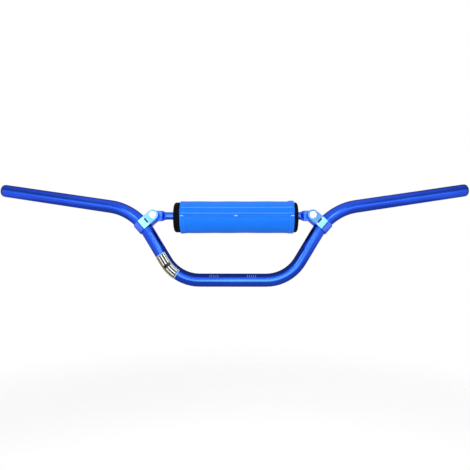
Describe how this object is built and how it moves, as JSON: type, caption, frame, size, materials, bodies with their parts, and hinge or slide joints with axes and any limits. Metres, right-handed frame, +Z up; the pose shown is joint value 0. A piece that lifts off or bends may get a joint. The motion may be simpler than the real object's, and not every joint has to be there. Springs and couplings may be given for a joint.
{
  "type": "motorcycle handlebar",
  "caption": "High-rise motorcycle handlebar of bent tube, with a clamped-on crossbar and a wrapped foam crossbar pad.",
  "frame": {"origin": "middle of the straight section that the risers clamp, on the tube's axis", "axes": "+X to the right along the bar's width as seen from the front, +Z up the rise, -Y to the front, the arms sweep back to +Y"},
  "size_m": [0.8404, 0.096, 0.1779],
  "materials": {
    "tube_blue": "gloss",
    "crossbar_blue": "gloss",
    "clamp_blue": "polished",
    "zinc_steel": "satin",
    "nylon": "satin",
    "plug_black": "satin",
    "foam_black": "matte",
    "cover_blue": "satin",
    "fastener_black": "matte",
    "decal_film": "gloss"
  },
  "bodies": {
    "root": {"handlebar_tube": "tube_blue", "crossbar": "crossbar_blue", "left_crossbar_clamp": "clamp_blue", "right_crossbar_clamp": "clamp_blue", "left_clamp_bolt": "zinc_steel", "right_clamp_bolt": "zinc_steel", "left_front_washer": "zinc_steel", "right_front_washer": "zinc_steel", "left_rear_washer": "zinc_steel", "right_rear_washer": "zinc_steel", "left_locknut": "zinc_steel", "right_locknut": "zinc_steel", "left_nut_insert": "nylon", "right_nut_insert": "nylon", "left_end_plug": "plug_black", "right_end_plug": "plug_black", "pad_foam": "foam_black", "pad_cover": "cover_blue", "cover_hook_strip": "fastener_black", "cover_loop_strip": "fastener_black", "bend_decal": "decal_film"}
  },
  "joints": []
}
